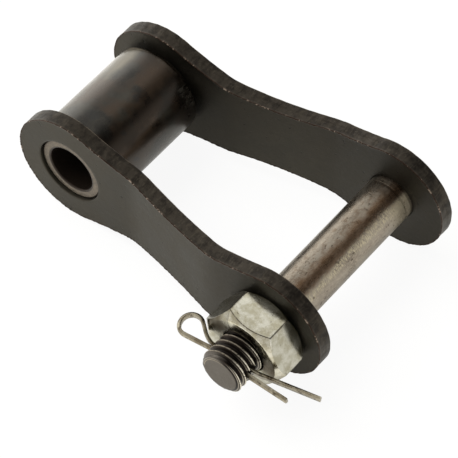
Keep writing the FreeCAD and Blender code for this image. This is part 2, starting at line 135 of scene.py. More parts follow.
# Surface turned about the Y axis through (axisX, 0), from the profile's rows (r, y):
# x = axisX + r cos a, z = r sin a
def turn(profile, axisX, angles):
    radius, along = profile[..., 0], profile[..., 1]
    radius = np.broadcast_to(radius, (len(profile), len(angles)))
    along = np.broadcast_to(along, radius.shape)
    return np.stack([axisX + radius * np.cos(angles), along, radius * np.sin(angles)], axis=-1)


# Smooth noise along a closed line, root 2 times the sum over whole waves k of
# size_k sin(2 pi k share + begin_k + slide_k drift)
def loopNoise(share, waves, seed, drift=None):
    rng = np.random.default_rng(seed)
    count = np.arange(waves[0], waves[1])
    size = rng.normal(size=len(count)) / np.sqrt(len(count))
    begin = rng.uniform(0, 2 * math.pi, len(count))
    slide = rng.normal(size=len(count)) * 2.5
    turnBy = 2 * math.pi * share[..., None] * count + begin
    if drift is not None:
        turnBy = turnBy + drift[..., None] * slide
    return (np.sin(turnBy) * size).sum(axis=-1) * math.sqrt(2)


# The piece moves with its body and is seen in place of the frame's node
def stand(thing, node, body):
    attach(thing, body)
    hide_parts(node)
    return thing


# Plates: sheet cranked between the narrow end and the wide end. A burr row holds its inset as a share of the
# burr's reach, its depth in mm, and the share of the lip's height that is added to the depth.
plate = {
    "inside": 20.0, "thick": 2.6, "offset": 3.8, "bendStart": 11.055, "bendLength": 20.89, "bendRadius": 15.0,
    "narrow": 9.9, "wide": 9.6, "waist": 61.0, "cutLow": 11.0, "cutHigh": 32.0,
    "rolled": 0.2, "burrReach": 0.26, "burrHeight": 0.07, "wander": 0.05, "rough": 0.04, "tornFrom": 0.45,
    "lipMiddle": 0.45, "lipSwing": 0.7, "lipMost": 1.4, "cleanShare": 0.25, "waveFrom": 0.6, "waveSwing": 0.5,
    "burrRows": ((1, 0, 0), (0.6, 0, -0.35), (0.28, 0, -1), (0.08, 0, -0.8), (0, 0.02, -0.1), (0, 0.09, 0)),
    "burrLook": (0.0, 0.5, 1.0, 1.0, 0.8, 0.4), "paleHighlightLook": (0.0, 0.6, 1.0, 1.0, 0.6, 0.0),
    "wanderWaves": (6, 90), "lipWaves": (40, 260), "roughWaves": (60, 420),
    "bushHole": 5.73, "nearPinHole": 4.0, "farPinHole": 3.96, "holeBreak": 0.14,
    "arcPoints": 3000, "roundCells": 170, "middleCells": 64, "lineCells": 44, "innerCells": 13,
    "wallCells": 13,
}
step = plate["offset"] - 2 * plate["bendRadius"]
plate["ramp"] = (math.atan2(step, plate["bendLength"])
                 + math.asin(2 * plate["bendRadius"] / math.hypot(plate["bendLength"], step)))


# Height over x of the surface a given distance outside the sheet's middle: flat, arc, ramp, arc, flat.
# Arcs: low + r - sqrt((r - outside)^2 - (x - begin)^2) and high - r + sqrt((r + outside)^2 - (end - x)^2)
def crankHeight(x, outside):
    low = (plate["inside"] + plate["thick"]) / 2
    high = low + plate["offset"]
    first = plate["bendRadius"] - outside
    second = plate["bendRadius"] + outside
    begin, end, ramp = plate["bendStart"], plate["bendStart"] + plate["bendLength"], plate["ramp"]
    fromBegin = np.clip(x - begin, 0, first * math.sin(ramp))
    toEnd = np.clip(end - x, 0, second * math.sin(ramp))
    lowPart = low + plate["bendRadius"] - np.sqrt(first ** 2 - fromBegin ** 2)
    highPart = high - plate["bendRadius"] + np.sqrt(second ** 2 - toEnd ** 2)
    slopeFrom = begin + first * math.sin(ramp)
    onRamp = low + plate["bendRadius"] - first * math.cos(ramp) + (x - slopeFrom) * math.tan(ramp)
    return np.where(x < slopeFrom, lowPart, np.where(x > end - second * math.sin(ramp), highPart, onRamp))


# The outline, anticlockwise from x = cutHigh below: points, outward normals and share of its whole length
def plateOutline():
    narrow, wide, waist = plate["narrow"], plate["wide"], plate["waist"]
    centreX = ((narrow + waist) ** 2 - (wide + waist) ** 2 + pitch ** 2) / (2 * pitch)
    centreZ = math.sqrt((narrow + waist) ** 2 - centreX ** 2)
    lean = math.atan2(centreZ, centreX)
    leanWide = math.atan2(centreZ, centreX - pitch)
    arcs = [
        (centreX, -centreZ, waist, math.pi - lean, math.pi - leanWide, -1),
        (pitch, 0, wide, -leanWide, leanWide, 1),
        (centreX, centreZ, waist, math.pi + leanWide, math.pi + lean, -1),
        (0, 0, narrow, lean, 2 * math.pi - lean, 1),
        (centreX, -centreZ, waist, math.pi - lean, math.pi - leanWide, -1),
    ]
    rows = []
    for x, z, radius, first, last, way in arcs:
        angle = np.linspace(first, last, plate["arcPoints"])[:-1]
        rows.append(np.stack([x + radius * np.cos(angle), z + radius * np.sin(angle),
                              way * np.cos(angle), way * np.sin(angle)], axis=-1))
    line = np.concatenate(rows)
    length = np.concatenate([[0], np.cumsum(np.hypot(*np.diff(line[:, :2], axis=0).T))])
    per = plate["arcPoints"] - 1
    lowerX, upperX = line[:per, 0], line[2 * per:3 * per, 0]

    def lengthAt(cut, lower, lap=0):
        if lower:
            return np.interp(cut, lowerX, length[lap * 4 * per:lap * 4 * per + per])
        return np.interp(-cut, -upperX, length[2 * per:3 * per])
    marks = [lengthAt(plate["cutHigh"], True), lengthAt(plate["cutHigh"], False),
             lengthAt(plate["cutLow"], False), lengthAt(plate["cutLow"], True, 1),
             lengthAt(plate["cutHigh"], True, 1)]
    counts = [plate["roundCells"], plate["middleCells"], plate["roundCells"], plate["middleCells"]]
    places = np.concatenate([np.linspace(a, b, n, endpoint=False)
                             for a, b, n in zip(marks, marks[1:], counts)])
    ring = np.stack([np.interp(places, length, line[:, k]) for k in range(4)], axis=-1)
    share = (places - marks[0]) / (marks[-1] - marks[0])
    return ring[:, :2], ring[:, 2:], share


# Broad face in three grids that share their border points: round the pin hole, round the bush hole, waist.
# A grid point is hole point + u (border point - hole point), or top point + v (bottom point - top point).
def faceGrids(border, pinHole):
    rounds, middles = plate["roundCells"], plate["middleCells"]
    corner = [0, rounds, rounds + middles, 2 * rounds + middles]
    across = np.linspace(0, 1, plate["lineCells"] + 1)[:, None]
    zones = []
    for centreX, hole, first, last in ((pitch, pinHole, corner[0], corner[1]),
                                       (0.0, plate["bushHole"] + plate["holeBreak"], corner[2], corner[3])):
        line = border[last] + across[1:-1] * (border[first] - border[last])
        loop = np.concatenate([border[first:last + 1], line])
        away = loop - (centreX, 0)
        start = (centreX, 0) + hole * away / np.linalg.norm(away, axis=1, keepdims=True)
        u = np.linspace(0, 1, plate["innerCells"] + 1)[:, None, None]
        zones.append((start + u * (loop - start), True))
    top = border[corner[1]:corner[2] + 1]
    bottom = np.concatenate([border[corner[3]:], border[:1]])[::-1]
    v = across[:, :, None]
    zones.append((top + v * (bottom - top), False))
    return zones


# Point = (x, side * y, z): x and z = outline less normal * inset, y = crank height of a face less the depth.
# The attributes say where the sheared side, its burr and its worn edge with painted highlight are, and the
# place along and down it.
def makePlate(name, side, pinHole, seed):
    points, normals, share = plateOutline()
    half = plate["thick"] / 2
    burrOutside = side < 0
    wander = -plate["wander"] * (0.5 + 0.5 * np.tanh(loopNoise(share, plate["wanderWaves"], seed)))
    points = points + normals * wander[:, None]
    lip = plate["lipMiddle"] + plate["lipSwing"] * loopNoise(share, plate["lipWaves"], seed + 1)
    lip = plate["burrHeight"] * np.clip(lip, 0, plate["lipMost"])
    ones = np.ones(len(share))
    # Each row: inset from the outline, then depth below its own face
    rolledRows = [(plate["rolled"] * (1 - math.sin(a)) * ones, plate["rolled"] * (1 - math.cos(a)) * ones)
                  for a in np.linspace(0, math.pi / 2, len(plate["paleHighlightLook"]))]
    burrRows = [(inset * plate["burrReach"] * ones, depth + lipShare * lip)
                for inset, depth, lipShare in plate["burrRows"]]
    outerRows, innerRows = (burrRows, rolledRows) if burrOutside else (rolledRows, burrRows)
    labels = ("wall", "burr", "paleHighlight", "along", "depth")
    grids, flags = [], {label: [] for label in labels}

    def addPlain(grid, closed):
        grids.append((grid, closed))
        for label in labels:
            flags[label].append(np.zeros(grid.shape[:2]))

    def lift(x, outward, depth):
        return side * (crankHeight(x, half if outward else -half) - (depth if outward else -depth))

    for outward, rows in ((True, outerRows), (False, innerRows)):
        border = points - normals * rows[0][0][:, None]
        for flat, closed in faceGrids(border, pinHole + plate["holeBreak"]):
            x, z = flat[..., 0], flat[..., 1]
            addPlain(np.stack([x, lift(x, outward, 0.0), z], axis=-1), closed)
    # The sheared side: down from the outer face, across, and up to the inner face
    thickHere = crankHeight(points[:, 0], half) - crankHeight(points[:, 0], -half)
    outerEnd, innerEnd = outerRows[-1][1], innerRows[-1][1]
    insets = [r[0] for r in outerRows]
    depths = [r[1] for r in outerRows]
    for across in np.linspace(0, 1, plate["wallCells"] + 1)[1:-1]:
        wave = loopNoise(share, plate["roughWaves"], seed + 2, np.full(len(share), across))
        torn = (1 - across if burrOutside else across) > plate["tornFrom"]
        deep = plate["cleanShare"] + (1 - plate["cleanShare"]) * torn
        insets.append(plate["rough"] * deep * (plate["waveFrom"] + plate["waveSwing"] * np.abs(wave)))
        depths.append(outerEnd + across * (thickHere - outerEnd - innerEnd))
    insets += [r[0] for r in innerRows[::-1]]
    depths += [thickHere - r[1] for r in innerRows[::-1]]
    insets, depths = np.array(insets), np.array(depths)
    flat = points - normals * insets[..., None]
    y = crankHeight(flat[..., 0], half) - depths
    outerCount, innerCount = len(outerRows), len(innerRows)
    # The last rows are measured from the inner face, so that they meet it on the bends too
    innerDepths = np.array([r[1] for r in innerRows[::-1]])
    y[-innerCount:] = crankHeight(flat[-innerCount:, :, 0], -half) + innerDepths
    grids.append((np.stack([flat[..., 0], side * y, flat[..., 1]], axis=-1), True))
    wall = np.ones(insets.shape)
    wall[0] = wall[-1] = 0
    wall[1] = wall[-2] = 0.5
    burr, paleHighlight = np.zeros(insets.shape), np.zeros(insets.shape)
    burrLook, paleHighlightLook = (np.array(plate[k])[:, None] for k in ("burrLook", "paleHighlightLook"))
    if burrOutside:
        burr[:outerCount] = burrLook
        paleHighlight[-innerCount:] = paleHighlightLook[::-1]
    else:
        burr[-innerCount:] = burrLook[::-1]
        paleHighlight[:outerCount] = paleHighlightLook
    perimeter = 2 * math.pi * plate["narrow"] + 2 * pitch
    along = np.broadcast_to(share * perimeter, insets.shape)
    fromBurr = depths if burrOutside else thickHere - depths
    for label, values in zip(labels, (wall, burr, paleHighlight, along, fromBurr)):
        flags[label].append(values)
    # Hole walls: each begins and ends on the points that the two faces have round the hole
    rim = plate["holeBreak"]
    edge = ((rim, 0), (0.3 * rim, 0.3 * rim), (0, rim))
    for zone, (centreX, hole) in enumerate(((pitch, pinHole), (0.0, plate["bushHole"]))):
        wallRows = []
        for outward, border, edgeRows in ((True, outerRows, edge), (False, innerRows, edge[::-1])):
            start = faceGrids(points - normals * border[0][0][:, None], pinHole + rim)[zone][0][0]
            angle = np.arctan2(start[:, 1], start[:, 0] - centreX)
            for wider, depth in edgeRows:
                x = centreX + (hole + wider) * np.cos(angle)
                z = (hole + wider) * np.sin(angle)
                wallRows.append(np.stack([x, lift(x, outward, depth), z], axis=-1))
        addPlain(np.array(wallRows), True)
    attributes = {label: np.concatenate([f.ravel() for f in flags[label]]) for label in labels}
    return makeMesh(name, grids, attributes, weld=2e-7)


nearPlate = makePlate("nearPlateLook", -1, plate["nearPinHole"], 11)
farPlate = makePlate("farPlateLook", 1, plate["farPinHole"], 23)
stand(nearPlate, "near_plate", "link")
stand(farPlate, "far_plate", "link")
print("scene: plates made")

# Bush and roller: closed turned rings. The edges are the corner radii: bore, outside, outside, bore along Y.
bush = {"bore": 4.05, "outer": 5.7, "from": -12.12, "to": 12.12, "edges": (0.3, 0.4, 0.3, 0.4),
        "angles": 192}
roller = {"bore": 5.76, "outer": 7.75, "from": -9.7, "to": 8.9, "edges": (0.3, 0.45, 0.45, 0.3),
          "angles": 224}


# Square section with rounded corners, turned about the bush's axis
def makeRing(name, sizes):
    section = [(sizes["bore"], sizes["from"]), (sizes["outer"], sizes["from"]),
               (sizes["outer"], sizes["to"]), (sizes["bore"], sizes["to"])]
    rounded = roundCorners(section, sizes["edges"], 6)
    angles = np.linspace(0, 2 * math.pi, sizes["angles"], endpoint=False)
    return makeMesh(name, [(turn(np.concatenate([rounded, rounded[:1]]), 0.0, angles), True)])


bushPiece = stand(makeRing("bushLook", bush), "bush", "link")
rollerPiece = stand(makeRing("rollerLook", roller), "roller", "roller")
print("scene: bush and roller made")

# Connecting pin: riveted head, ground shank with a fine groove, threaded end with a cross hole
pin = {
    "shank": 3.95, "head": 4.8, "headFrom": 16.4, "headTo": 17.5, "headEdge": 0.35, "headDish": 0.12,
    "dishFlat": 2.6, "dishRim": 3.9, "grooveFrom": 12.2, "grooveTo": 12.7, "grooveDepth": 0.025,
    "grooveSlope": 0.1, "shankMiddle": 6.0, "shankSlope": 0.35, "shankEnd": -16.0,
    "edges": (0, 0, 0.4, 0.35, 0.15, 0, 0.12, 0.09, 0.09, 0.12, 0, 0, 0.05, 0),
    "major": 3.68, "minor": 2.98, "threadPitch": 1.18, "threadPhase": 0.26,
    "flankFrom": 0.9, "flankWidth": 0.78, "rootRound": 0.25,
    "runIn": 0.8, "end": -27.8, "endRadius": 2.9, "endSlope": 3.4, "capShares": (1.0, 0.93, 0.7, 0.35, 0.0),
    "hole": 1.2, "holeY": -24.65, "holeReach": 8.0, "holeAngles": 48, "angles": 160, "perTurn": 20,
}


# Thread: radius depends on the phase s/p - a/2pi of a point s along the stud at angle a (a right-hand screw);
# a flat crest, straight flanks and a rounded root, all cut off by the cone of the end chamfer
def threadRadius(outward, angle):
    phase = outward / pin["threadPitch"] - angle / (2 * math.pi) - pin["threadPhase"]
    saw = np.abs((phase % 1.0) - 0.5) * 2
    depth = np.clip((pin["flankFrom"] - saw) / pin["flankWidth"], 0, 1)
    depth = depth * (1 - pin["rootRound"] * depth ** 6)
    radius = pin["major"] - (pin["major"] - pin["minor"]) * depth
    fromStart = np.clip((outward + pin["shankEnd"]) / pin["runIn"], 0, 1)
    radius = pin["major"] + (radius - pin["major"]) * fromStart
    cone = pin["endRadius"] + (-pin["end"] - outward) * pin["endSlope"]
    return np.minimum(radius, cone)


def makePin():
    angles = np.linspace(0, 2 * math.pi, pin["angles"], endpoint=False)
    shank, bottom = pin["shank"], pin["shank"] - pin["grooveDepth"]
    head = [(0.0, pin["headTo"] - pin["headDish"]), (pin["dishFlat"], pin["headTo"] - 0.3 * pin["headDish"]),
            (pin["dishRim"], pin["headTo"]), (pin["head"], pin["headTo"] - pin["headEdge"]),
            (pin["head"], pin["headFrom"]), (shank, pin["headFrom"]),
            (shank, pin["grooveTo"]), (bottom, pin["grooveTo"] - pin["grooveSlope"]),
            (bottom, pin["grooveFrom"] + pin["grooveSlope"]), (shank, pin["grooveFrom"]),
            (shank, pin["shankMiddle"]), (shank, -pin["shankMiddle"]),
            (shank, pin["shankEnd"] + pin["shankSlope"]), (pin["major"], pin["shankEnd"])]
    body = turn(roundCorners(head, pin["edges"], 5, closed=False), pitch, angles)
    # Rows follow the screw: s = s0 + k ds + p a/2pi, so a crest is one unbroken row of points
    step = pin["threadPitch"] / pin["perTurn"]
    start, stop = -pin["shankEnd"], -pin["end"]
    count = int(math.ceil((stop - start) / step)) + 2 * pin["perTurn"]
    k = np.arange(count)[:, None]
    outward = start - pin["threadPitch"] + k * step + pin["threadPitch"] * angles / (2 * math.pi)
    outward = np.clip(outward, start, stop)
    radius = threadRadius(outward, angles)
    screw = np.stack([pitch + radius * np.cos(angles), -outward, radius * np.sin(angles)], axis=-1)
    closing = screw[pin["perTurn"]:, :1]
    padding = np.repeat(closing[-1:], pin["perTurn"], axis=0)
    screw = np.concatenate([screw, np.concatenate([closing, padding])], axis=1)
    endRing = threadRadius(np.full_like(angles, stop), angles)
    share = np.array(pin["capShares"])[:, None]
    cap = np.stack([pitch + share * endRing * np.cos(angles),
                    np.full((len(share), len(angles)), -stop),
                    share * endRing * np.sin(angles)], axis=-1)
    return makeMesh("connectingPinLook", [(body, True), (screw, False), (cap, True)], weld=1e-6)


# The cross hole: a cylinder along X through the stud is cut away
pinPiece = makePin()
rod = np.array([(0, -pin["holeReach"]), (pin["hole"], -pin["holeReach"]),
                (pin["hole"], pin["holeReach"]), (0, pin["holeReach"])])[:, None, :]
hollow = turn(rod, 0.0, np.linspace(0, 2 * math.pi, pin["holeAngles"], endpoint=False))
hollow = hollow[..., [1, 0, 2]] + (pitch, pin["holeY"], 0)
cutter = makeMesh("crossHoleCutter", [(hollow, True)])
cut = pinPiece.modifiers.new("crossHole", "BOOLEAN")
cut.operation = "DIFFERENCE"
cut.solver = "EXACT"
cut.object = cutter
depsgraph = bpy.context.evaluated_depsgraph_get()
pinMesh = bpy.data.meshes.new_from_object(pinPiece.evaluated_get(depsgraph))
pinPiece.modifiers.clear()
pinPiece.data = pinMesh
bpy.data.objects.remove(cutter)
stand(pinPiece, "connecting_pin", "link")
print("scene: connecting pin made")

# Nut: at each angle the hexagon's radius sets how far the lathe's cones reach. Painted shade and lines go by
# side.
# A spot of oil and painted shadow holds its middle and width in degrees, its strength, and the profile row
# that it begins on.
nut = {
    "flats": 12.9, "from": -16.4, "height": 6.4, "face": 6.08, "cone": 41.0, "turn": 6.6, "bore": 3.74,
    "sink": 0.42, "cornerRadius": 0.24, "edges": (0.05, 0.1, 0.1, 0.12, 0.12, 0.12, 0.12, 0.05),
    "nearCorner": (0, 0.35, 0.7, 1.0, 1.3, 1.8, 2.6, 3.8), "middleFrom": 5, "middleCount": 51,
    "sideShades": (0.5, 1.0, 0.5, 0.8, 0.85, 0.75), "coneShade": 0.85, "lines": (0.0, 1.0, 0.5, 0.4, 0.6, 0.5),
    "faintWithin": 10, "faintShare": 0.3, "cornerLine": 0.9, "rimShare": 0.35,
    "lineAcross": (0.25, 1.0, 1.0, 1.0, 0.25), "gleamAcross": (0.0, 0.6, 1.0, 0.6, 0.0),
    "gleamAt": 54, "gleamWidth": 7, "oilAndShadowSpots": ((9, 24, 1.0, 26), (151, 18, 0.85, 23)),
}


# Distance to a hexagon with rounded corners: half the flats / cos(angle from the flat's middle),
# or near a corner the far side of the corner's circle, c cos d + sqrt(q^2 - c^2 sin^2 d)
def hexRadius(angle):
    flat, q = nut["flats"] / 2, nut["cornerRadius"]
    c = (flat - q) / math.cos(math.pi / 6)
    off = np.abs((angle + math.radians(nut["turn"]) + math.pi / 6) % (math.pi / 3) - math.pi / 6)
    meet = math.atan2(q / 2, c + q * math.cos(math.pi / 6))
    inside = np.sqrt(np.maximum(q ** 2 - (c * np.sin(off)) ** 2, 0))
    return np.where(off < meet, c * np.cos(off) + inside, flat / np.cos(math.pi / 6 - off))


def makeNut():
    # Columns lie closer together near the corners: degrees from a corner
    near = np.array(nut["nearCorner"])
    middle = np.linspace(nut["middleFrom"], 60 - nut["middleFrom"], nut["middleCount"])
    sector = np.concatenate([near, middle, 60 - near[:0:-1]])
    degrees = (np.arange(6)[:, None] * 60 + sector).ravel()
    angles = np.radians(degrees - nut["turn"])
    side = (degrees // 60).astype(int)
    fromCorner = np.minimum(degrees % 60, 60 - degrees % 60)
    reach = hexRadius(angles)
    drop = (reach - nut["face"]) * math.tan(math.radians(nut["cone"]))
    back, front = nut["from"], nut["from"] - nut["height"]
    one = np.ones_like(angles)
    profile = np.array([
        (nut["bore"] * one, (back - nut["sink"]) * one),
        ((nut["bore"] + nut["sink"]) * one, back * one),
        (nut["face"] * one, back * one),
        (reach, back - drop),
        (reach, front + drop),
        (nut["face"] * one, front * one),
        ((nut["bore"] + nut["sink"]) * one, front * one),
        (nut["bore"] * one, (front + nut["sink"]) * one),
    ]).transpose(0, 2, 1)
    rounded = roundCorners(profile, nut["edges"], 5)
    rows = len(rounded)
    rounded = np.concatenate([rounded, rounded[:1]])
    # Rows 20 to 24 turn from flat to front cone, 25 to 29 from cone to face, 30 on into the bore
    line, gleam, cone, ringFace, oilAndShadow, tone = (np.zeros((rows + 1, len(angles))) for k in range(6))
    line[20:25] = np.array(nut["lineAcross"])[:, None] * np.array(nut["lines"])[side]
    line[16:24] = np.maximum(line[16:24], np.exp(-fromCorner ** 2) * nut["cornerLine"])
    faint = (degrees > 360 - nut["faintWithin"]) | (degrees < nut["faintWithin"])
    line[16:24] = np.where(faint, nut["faintShare"] * line[16:24], line[16:24])
    cone[23:28] = 1.0
    ringFace[28:30] = nut["rimShare"]
    ringFace[30:rows] = 1.0
    # Painted shade: each side of the hexagon keeps its own share of the light colour, the cones and face on
    # side 0 another
    tone[:] = np.array(nut["sideShades"])[side]
    tone[23:, side == 0] = nut["coneShade"]
    bright = np.clip(1 - np.abs(degrees - nut["gleamAt"]) / nut["gleamWidth"], 0, 1)
    gleam[20:25] = np.array(nut["gleamAcross"])[:, None] * bright
    # Oil and painted shadow on the face, below the legs and beside the eye: amount * exp(-(angle from the
    # middle / width)^4)
    for middle, width, amount, row in nut["oilAndShadowSpots"]:
        off = (degrees - middle + 180) % 360 - 180
        oilAndShadow[row:36] += amount * np.exp(-(off / width) ** 4)
    attributes = {"line": line, "gleam": gleam, "cone": cone, "ringFace": ringFace, "oilAndShadow": oilAndShadow,
                  "tone": tone}
    return makeMesh("hexNutLook", [(turn(rounded, pitch, angles), True)], attributes)


nutPiece = stand(makeNut(), "hex_nut", "link")
print("scene: nut made")

# Split pin: half-round wire carried along the folded line, flat side on the line
split = {
    "gap": 0.03, "wire": 0.61, "drop": 0.5, "legRadius": 4.0, "bendRadius": 4.8, "eyeRadius": 1.52,
    "eyeX": 8.6, "eyeY": 1.0, "mouth": 3.3, "tip": 10.4, "level": 4.3, "dropX": 2.2, "riseX": 3.9,
    "longX": 14.3, "longAngle": math.radians(11), "axisY": -24.65, "tilt": math.radians(11),
    "arcStep": 0.12, "runStep": 0.2, "bowPoints": 13, "edge": 0.06, "edgeMiddle": (0.03, 0.015),
    "endShare": 0.82,
}


# The wire's line as straight runs and arcs, each tangent to the last: points and directions.
# A run between arcs of radii r and q turned opposite ways lies asin((r + q) / distance) off their centre line
def splitLine():
    s = split
    quarter = math.pi / 2
    spread = math.hypot(s["level"] + s["dropX"], s["drop"] - 2 * s["legRadius"])
    slope = (math.atan2(s["drop"] - 2 * s["legRadius"], s["level"] + s["dropX"])
             + math.asin(2 * s["legRadius"] / spread))
    eye = np.array([-s["eyeX"], s["eyeY"]])
    lowBend = np.array([-s["mouth"], -s["gap"] - s["bendRadius"]])
    highBend = np.array([-s["mouth"], s["gap"] + s["bendRadius"]])

    def crossing(first, second, way):
        reach = second - first
        off = math.asin((s["bendRadius"] + s["eyeRadius"]) / math.hypot(*reach))
        return math.atan2(reach[1], reach[0]) + way * off
    lowWay = crossing(lowBend, eye, 1)
    highWay = crossing(eye, highBend, -1)
    lowY = -s["gap"] - s["drop"]
    # centre, radius, first angle, last angle, turning way; the runs between arcs are straight
    arcs = [
        ((s["level"], lowY + s["legRadius"]), s["legRadius"], -quarter, -quarter - slope, -1),
        ((-s["dropX"], -s["gap"] - s["legRadius"]), s["legRadius"], quarter - slope, quarter, 1),
        (lowBend, s["bendRadius"], quarter, lowWay - quarter, 1),
        (eye, s["eyeRadius"], lowWay + quarter, highWay + quarter, -1),
        (highBend, s["bendRadius"], highWay - quarter, -quarter, 1),
        ((s["riseX"], s["gap"] + s["legRadius"]), s["legRadius"], -quarter, -quarter + s["longAngle"], 1),
    ]
    pieces, last = [], np.array([[s["tip"], lowY]])
    for centre, radius, first, final, way in arcs:
        final = first + way * ((way * (final - first)) % (2 * math.pi))
        angle = np.linspace(first, final, max(8, int(abs(final - first) * radius / s["arcStep"])))
        arc = np.stack([centre[0] + radius * np.cos(angle), centre[1] + radius * np.sin(angle)], axis=-1)
        run = np.linalg.norm(arc[0] - last[-1])
        count = max(2, int(run / s["runStep"]))
        line = last[-1] + np.linspace(0, 1, count, endpoint=False)[1:, None] * (arc[0] - last[-1])
        pieces += [line, arc]
        last = arc
    endY = last[-1][1] + (s["longX"] - last[-1][0]) * math.tan(s["longAngle"])
    tipPoint = np.array([s["longX"], endY])
    count = int(np.linalg.norm(tipPoint - last[-1]) / s["runStep"])
    pieces.append(last[-1] + np.linspace(0, 1, count + 1)[1:, None] * (tipPoint - last[-1]))
    line = np.concatenate([np.array([[s["tip"], lowY]])] + pieces)
    tangent = np.gradient(line, axis=0)
    tangent /= np.linalg.norm(tangent, axis=1, keepdims=True)
    return line, tangent


# Every section is the half-round profile set square to the line, then tilted about X through the cross hole:
# p = line + outward * n, y = axisY + p cos t - z sin t, z = p sin t + z cos t
def makeSplit():
    line, tangent = splitLine()
    outward = np.stack([-tangent[:, 1], tangent[:, 0]], axis=-1)
    r, edge = split["wire"], split["edge"]
    out, back = split["edgeMiddle"]
    bow = np.linspace(0, math.pi, split["bowPoints"])[1:-1]
    section = np.concatenate([[(0.0, -r + edge), (out, -r + back)],
                              np.stack([r * np.sin(bow), -r * np.cos(bow)], axis=-1),
                              [(out, r - back), (0.0, r - edge), (0.0, 0.0)]])
    n, z = section[:, 0], section[:, 1]
    # The flat side faces the eye's inside, so the round side lies to the left of the way along the line
    place = line[:, None, :] + outward[:, None, :] * n[None, :, None]
    tilt = split["tilt"]
    grid = np.stack([pitch + place[..., 0],
                     split["axisY"] + place[..., 1] * math.cos(tilt) - z * math.sin(tilt),
                     place[..., 1] * math.sin(tilt) + z * math.cos(tilt)], axis=-1)
    first = grid[:1].mean(axis=1, keepdims=True)
    last = grid[-1:].mean(axis=1, keepdims=True)
    nearFirst = first + (grid[:1] - first) * split["endShare"]
    nearLast = last + (grid[-1:] - last) * split["endShare"]
    grid = np.concatenate([np.broadcast_to(first, grid[:1].shape), nearFirst, grid, nearLast,
                           np.broadcast_to(last, grid[:1].shape)])
    return makeMesh("splitPinLook", [(grid, True)])


splitPiece = stand(makeSplit(), "split_pin", "link")
print("scene: split pin made")


# A node socket that does arithmetic: each operator adds one Math node
class Wire:
    def __init__(self, tree, socket=None):
        self.tree = tree
        self.socket = socket

    # A node: its type less ShaderNode, its settings, its values or links, and the output to go on from
    def node(self, kind, settings=None, inputs=None, output=0):
        made = self.tree.nodes.new("ShaderNode" + kind)
        for label, value in (settings or {}).items():
            setattr(made, label, value)
        for label, value in (inputs or {}).items():
            if isinstance(value, Wire):
                self.tree.links.new(value.socket, made.inputs[label])
            else:
                made.inputs[label].default_value = value
        return Wire(self.tree, made.outputs[output])

    # The three parts of a place or direction
    def parts(self):
        return tuple(self.node("SeparateXYZ", {}, {0: self}, k) for k in range(3))

    def toOutput(self, kind):
        out = self.tree.nodes.new("ShaderNodeOutput" + kind)
        self.tree.links.new(self.socket, out.inputs["Surface"])

    def maths(self, operation, *values):
        return self.node("Math", {"operation": operation}, dict(enumerate(values)))

    def __add__(self, other):
        return self.maths("ADD", self, other)

    def __sub__(self, other):
        return self.maths("SUBTRACT", self, other)

    def __rsub__(self, other):
        return self.maths("SUBTRACT", other, self)

    def __mul__(self, other):
        return self.maths("MULTIPLY", self, other)

    def __truediv__(self, other):
        return self.maths("DIVIDE", self, other)

    __radd__ = __add__


# Smooth step from first to last, t^2 (3 - 2t), as the value goes from low to high (low may be the greater)
def smooth(value, low, high, first=0.0, last=1.0):
    return value.node("MapRange", {"interpolation_type": "SMOOTHSTEP"},
                      {"Value": value, "From Min": low, "From Max": high, "To Min": first, "To Max": last})


# 1 between two smooth steps, one up and one down: their product
def window(value, rise, fall):
    return smooth(value, *rise) * smooth(value, *fall)


# first (1 - share) + second share
def blendColour(share, first, second):
    first = first if isinstance(first, Wire) else (*first, 1)
    second = second if isinstance(second, Wire) else (*second, 1)
    return share.node("Mix", {"data_type": "RGBA"}, {0: share, 6: first, 7: second}, 2)


# Noise at the place times scale (per mm) and stretch, moved by the seed so that no two look alike
def grain(where, scale, detail=2.0, rough=0.5, stretch=(1, 1, 1), seed=0.0):
    placed = where.node("VectorMath", {"operation": "MULTIPLY_ADD"},
                        {0: where, 1: tuple(scale * k for k in stretch), 2: (seed, seed * 0.7, -seed)})
    return where.node("TexNoise", {},
                      {"Vector": placed, "Scale": 1.0, "Detail": detail, "Roughness": rough})


# Linear colour of an 8-bit screen colour, s / 12.92 if dark, else ((s + 0.055) / 1.055)^2.4
def screen(red, green, blue):
    share = np.array([red, green, blue]) / 255
    linear = np.where(share <= 0.04045, share / 12.92, ((share + 0.055) / 1.055) ** 2.4)
    return tuple(float(v) for v in linear)


# A material whose colour is built up in coats, each painted over the last where its share is 1
class Look:
    def __init__(self, name):
        self.material = bpy.data.materials.new(name)
        self.material.use_nodes = True
        self.tree = self.material.node_tree
        self.tree.nodes.clear()
        self.start = Wire(self.tree)
        place = self.start.node("TexCoord", output="Object")
        self.here = self.start.node("VectorMath", {"operation": "SCALE"},
                                    {0: place, "Scale": 1 / mm})
        self.colour = None

    def paint(self, share, colour):
        self.colour = blendColour(share, self.colour, colour)

    def attribute(self, label):
        return self.start.node("Attribute", {"attribute_name": label}, output="Fac")

    # Distance from the axis along Y that passes through (axisX, 0)
    def radial(self, axisX):
        flat = self.start.node("VectorMath", {"operation": "MULTIPLY_ADD"},
                               {0: self.here, 1: (1, 0, 1), 2: (-axisX, 0, 0)})
        return self.start.node("VectorMath", {"operation": "LENGTH"}, {0: flat}, "Value")

    # Bump whose full height is a distance in mm
    def bump(self, height, distance, strength):
        return self.start.node("Bump", {},
                               {"Height": height, "Distance": distance * mm, "Strength": strength})

    def finish(self, **values):
        inputs = {"Base Color": self.colour, **{k.replace("_", " "): v for k, v in values.items()}}
        self.start.node("BsdfPrincipled", {}, inputs, "BSDF").toOutput("Material")
        return self.material
